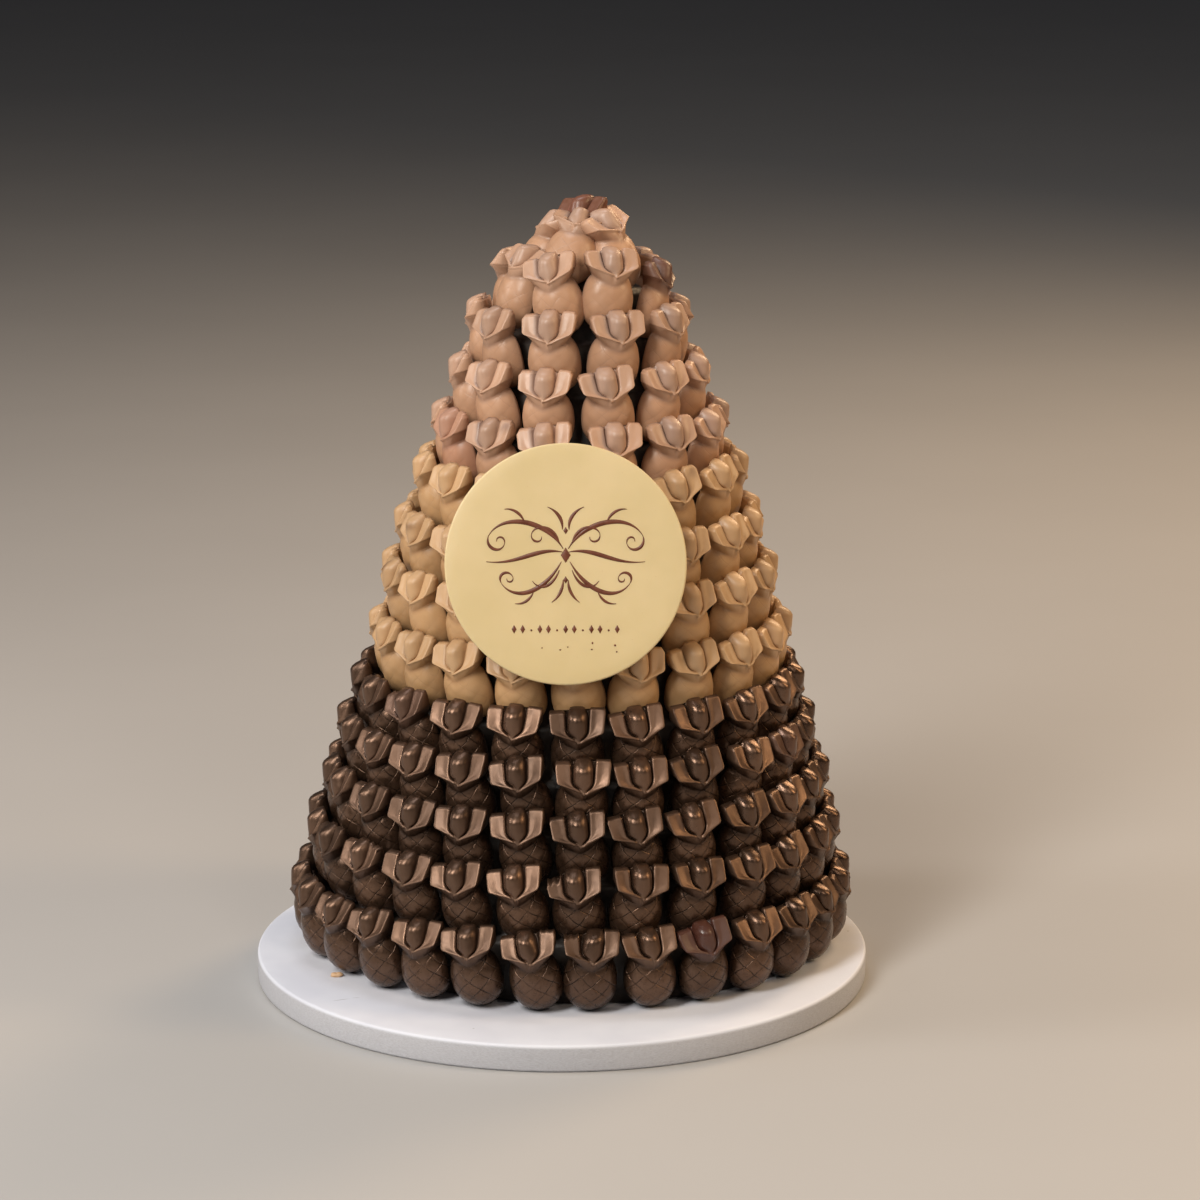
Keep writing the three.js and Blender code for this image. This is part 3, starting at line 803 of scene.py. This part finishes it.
ornament = dict(
    up=4.0, steps=34, thin=0.16, height=0.35,
    dome=[(1.0, -0.1), (1.0, 0.12), (0.75, 0.26), (0.3, 0.32)], sides=12,
    ways=[  # four control points and the greatest width
        ((1.2, 3.0), (9, 17), (30, 20), (36, 9), 2.6),
        ((36, 9), (38, 3), (30, 0), (28.5, 5.5), 1.7),
        ((28.5, 5.5), (28, 9), (32.5, 9.5), (32.2, 6.4), 1.0),
        ((3.0, 6.0), (5, 14), (15, 15), (16, 9.5), 1.7),
        ((16, 9.5), (16, 5.5), (11, 5.5), (11.2, 8.6), 1.1),
        ((1.5, 1.5), (14, 4), (22, -5), (37, -3), 2.3),
        ((2.0, -3.0), (10, -18), (24, -22), (30, -13), 2.4),
        ((30, -13), (32.5, -8.5), (26, -6), (24.5, -10.5), 1.5),
        ((24.5, -10.5), (24.4, -13), (27.6, -13), (27.4, -10.9), 0.9),
        ((3.0, -7.0), (6, -15), (12, -17), (15.5, -12), 1.6),
        ((19, 15.2), (21, 20), (25, 22), (28.5, 21.5), 1.5),
        ((15, -17.2), (17, -21.5), (20, -23), (23.5, -22.6), 1.4),
        ((1.6, 12.0), (1.0, 17), (4.5, 21), (8.5, 22.5), 1.8),
        ((1.2, -11.5), (1.0, -16), (3.5, -20), (6.5, -22.0), 1.6)],
    marks=[  # x, y, half width, half height, lozenge (1) or round (0)
        *[(-24 + 4.0 * j, -30.5, 1.15, 2.0, 1) for j in range(13) if j % 3 != 2],
        *[(-24 + 4.0 * j, -31.0, 0.5, 0.5, 0) for j in range(13) if j % 3 == 2],
        (0, 4.0, 2.3, 3.6, 1), (0, 15.5, 1.1, 1.7, 1), (0, -7.5, 1.1, 1.7, 1),
        (-11, -39.2, 0.4, 0.3, 0), (-2.5, -40.1, 0.5, 0.35, 0), (1.0, -38.8, 0.3, 0.3, 0),
        (12.5, -36.9, 0.4, 0.5, 0), (12.2, -39.9, 0.45, 0.35, 0), (23.0, -38.0, 0.5, 0.5, 0),
        (23.8, -41.0, 0.35, 0.4, 0)])


# Strokes along cubic curves: (1-t)^3 a + 3t(1-t)^2 b + 3t^2(1-t) c + t^3 d for four control points.
# The half width swells from thin to its greatest by a sine of t, and across it the ribbon has five
# columns, highest in the middle. Gives the places on the disc and the heights over its back.
def strokes(ways, steps, thin, height):
    t = np.linspace(0, 1, steps)[None, :, None]
    p = np.array([way[:4] for way in ways], float)[:, :, None, :]
    line = ((1 - t) ** 3 * p[:, 0] + 3 * t * (1 - t) ** 2 * p[:, 1] + 3 * t ** 2 * (1 - t) * p[:, 2]
            + t ** 3 * p[:, 3])
    wide = np.array([way[4] for way in ways])[:, None, None]
    half = thin + (wide / 2 - thin) * np.sin(math.pi * t ** 0.8) ** 1.3
    along = np.gradient(line, axis=1)
    normal = np.stack([-along[..., 1], along[..., 0]], -1)
    normal /= np.linalg.norm(normal, axis=-1, keepdims=True)
    offset = np.array([1, 0.72, 0, -0.72, -1])[None, None, :]
    flat = line[:, :, None, :] + normal[:, :, None, :] * (half * offset)[..., None]
    rise = disc["thickness"] - 0.1 + (height + 0.1) * np.array([0, 0.75, 1, 0.75, 0]) + 0 * half
    return flat, rise


# Faces of one tube of rows x columns and its caps, repeated for a count of them.
def tubesFaces(count, rows, columns):
    shift = (np.arange(count) * rows * columns)[:, None, None]
    return [(tubeQuads(rows, columns) + shift).reshape(-1, 4),
            (tubeCaps(rows, columns) + shift).reshape(-1, columns)]


# The ornament: strokes on the right, the same mirrored on the left, as closed ribbons.
def scrollPiece():
    flat, rise = strokes(ornament["ways"], ornament["steps"], ornament["thin"], ornament["height"])
    mirrored = flat[:, :, ::-1] * np.array([-1, 1])
    flat, rise = np.concatenate([flat, mirrored]), np.concatenate([rise, rise])
    points = onDisc(flat[..., 0], flat[..., 1] + ornament["up"], rise)
    return meshPiece("discScroll", points, tubesFaces(*rise.shape))


# Small marks: low domes, each a few rings of points (share of the half size, height). A lozenge's
# points lie at 1 / (|cos| + |sin|) of its half sizes, a round mark's at 1.
def markPiece():
    x, y, halfWidth, halfHeight, lozenge = np.array(ornament["marks"], float).T[:, :, None, None]
    dome = np.array(ornament["dome"])
    share, height = dome[:, :1], dome[:, 1:]
    angle = np.arange(ornament["sides"]) * 2 * math.pi / ornament["sides"]
    c, s = np.cos(angle), np.sin(angle)
    reach = np.where(lozenge > 0, 1 / (np.abs(c) + np.abs(s)), 1.0)
    x = x + share * (halfWidth * c * reach)
    y = y + share * (halfHeight * s * reach)
    return meshPiece("discMarks", onDisc(x, y, disc["thickness"] + height + 0 * x),
                     tubesFaces(*x.shape))


# Dark brown ornament, a little cloudy.
def ornamentMaterial():
    material, n, shader, place = newMaterial("brownOrnament")
    cloud = n.ramp(n.noise(place, 260, 3), 0.3, 0.7)
    n.put(shader.inputs["Base Color"], n.mix(cloud, (0.105, 0.024, 0.008), (0.155, 0.040, 0.014)))
    n.put(shader.inputs["Roughness"], n.ramp(cloud, 0.0, 1.0, (0.36, 0.5)))
    return material


plaque = discPiece()
plaque.data.materials.append(discMaterial())
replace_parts(plaque, "plaque")
brown = ornamentMaterial()
for piece in (scrollPiece(), markPiece()):
    piece.data.materials.append(brown)
print("disc made")

studio = dict(  # metres, watts and degrees
    floorSize=40.0, floorDrop=0.00005, floorColour=(0.43, 0.425, 0.42),
    worldColour=(0.58, 0.60, 0.68), worldStrength=0.045,
    lights=[  # name, place, width, height, power, colour
        ("key", (-0.85, -1.30, 1.45), 0.40, 1.2, 34.0, (1.0, 0.95, 0.88)),
        ("front", (0.70, -1.50, 1.40), 0.22, 1.2, 6.0, (1.0, 0.84, 0.68)),
        ("warm", (1.60, -0.20, 1.10), 0.40, 1.2, 13.0, (1.0, 0.70, 0.40)),
        ("left", (-1.60, -0.10, 0.95), 0.40, 1.2, 12.0, (1.0, 0.93, 0.86)),
        ("rim", (1.00, 1.30, 1.30), 0.50, 0.9, 18.0, (1.0, 0.70, 0.42)),
        ("above", (-0.20, 0.40, 1.90), 0.70, 0.7, 8.0, (0.92, 0.94, 1.0)),
    ],
    target=(0.0, 0.0, 0.18),
    cameraPlace=(0.0188, -1.9251, 0.6582), cameraPitch=76.25, lens=122.7, sensor=36.0)


# Plain floor: one square just under the board.
def floorPiece():
    size, low = studio["floorSize"] / 2, -studio["floorDrop"]
    corners = [(-size, -size, low), (size, -size, low), (size, size, low), (-size, size, low)]
    mesh = bpy.data.meshes.new("floor")
    mesh.from_pydata(corners, [], [[0, 1, 2, 3]])
    floor = bpy.data.objects.new("floor", mesh)
    bpy.context.scene.collection.objects.link(floor)
    material, n, shader, place = newMaterial("paleFloor")
    cloud = n.ramp(n.noise(place, 3), 0.3, 0.7)
    darker = tuple(c * 0.97 for c in studio["floorColour"])
    n.put(shader.inputs["Base Color"], n.mix(cloud, studio["floorColour"], darker))
    shader.inputs["Roughness"].default_value = 0.55
    mesh.materials.append(material)


floorPiece()

world = bpy.data.worlds.new("studio")
world.use_nodes = True
background = world.node_tree.nodes["Background"]
background.inputs["Color"].default_value = (*studio["worldColour"], 1)
background.inputs["Strength"].default_value = studio["worldStrength"]
bpy.context.scene.world = world

for name, place, width, height, power, colour in studio["lights"]:
    lamp = bpy.data.lights.new(name, "AREA")
    lamp.shape, lamp.size, lamp.size_y = "RECTANGLE", width, height
    lamp.energy, lamp.color = power, colour
    light = bpy.data.objects.new(name, lamp)
    light.location = place
    away = Vector(place) - Vector(studio["target"])
    light.rotation_euler = away.to_track_quat("Z", "Y").to_euler()
    bpy.context.scene.collection.objects.link(light)

lensData = bpy.data.cameras.new("camera")
lensData.lens, lensData.sensor_width = studio["lens"], studio["sensor"]
camera = bpy.data.objects.new("camera", lensData)
camera.location = studio["cameraPlace"]
camera.rotation_euler = (math.radians(studio["cameraPitch"]), 0, 0)
bpy.context.scene.collection.objects.link(camera)
bpy.context.scene.camera = camera
bpy.context.scene.view_settings.view_transform = "Standard"
print("studio made")
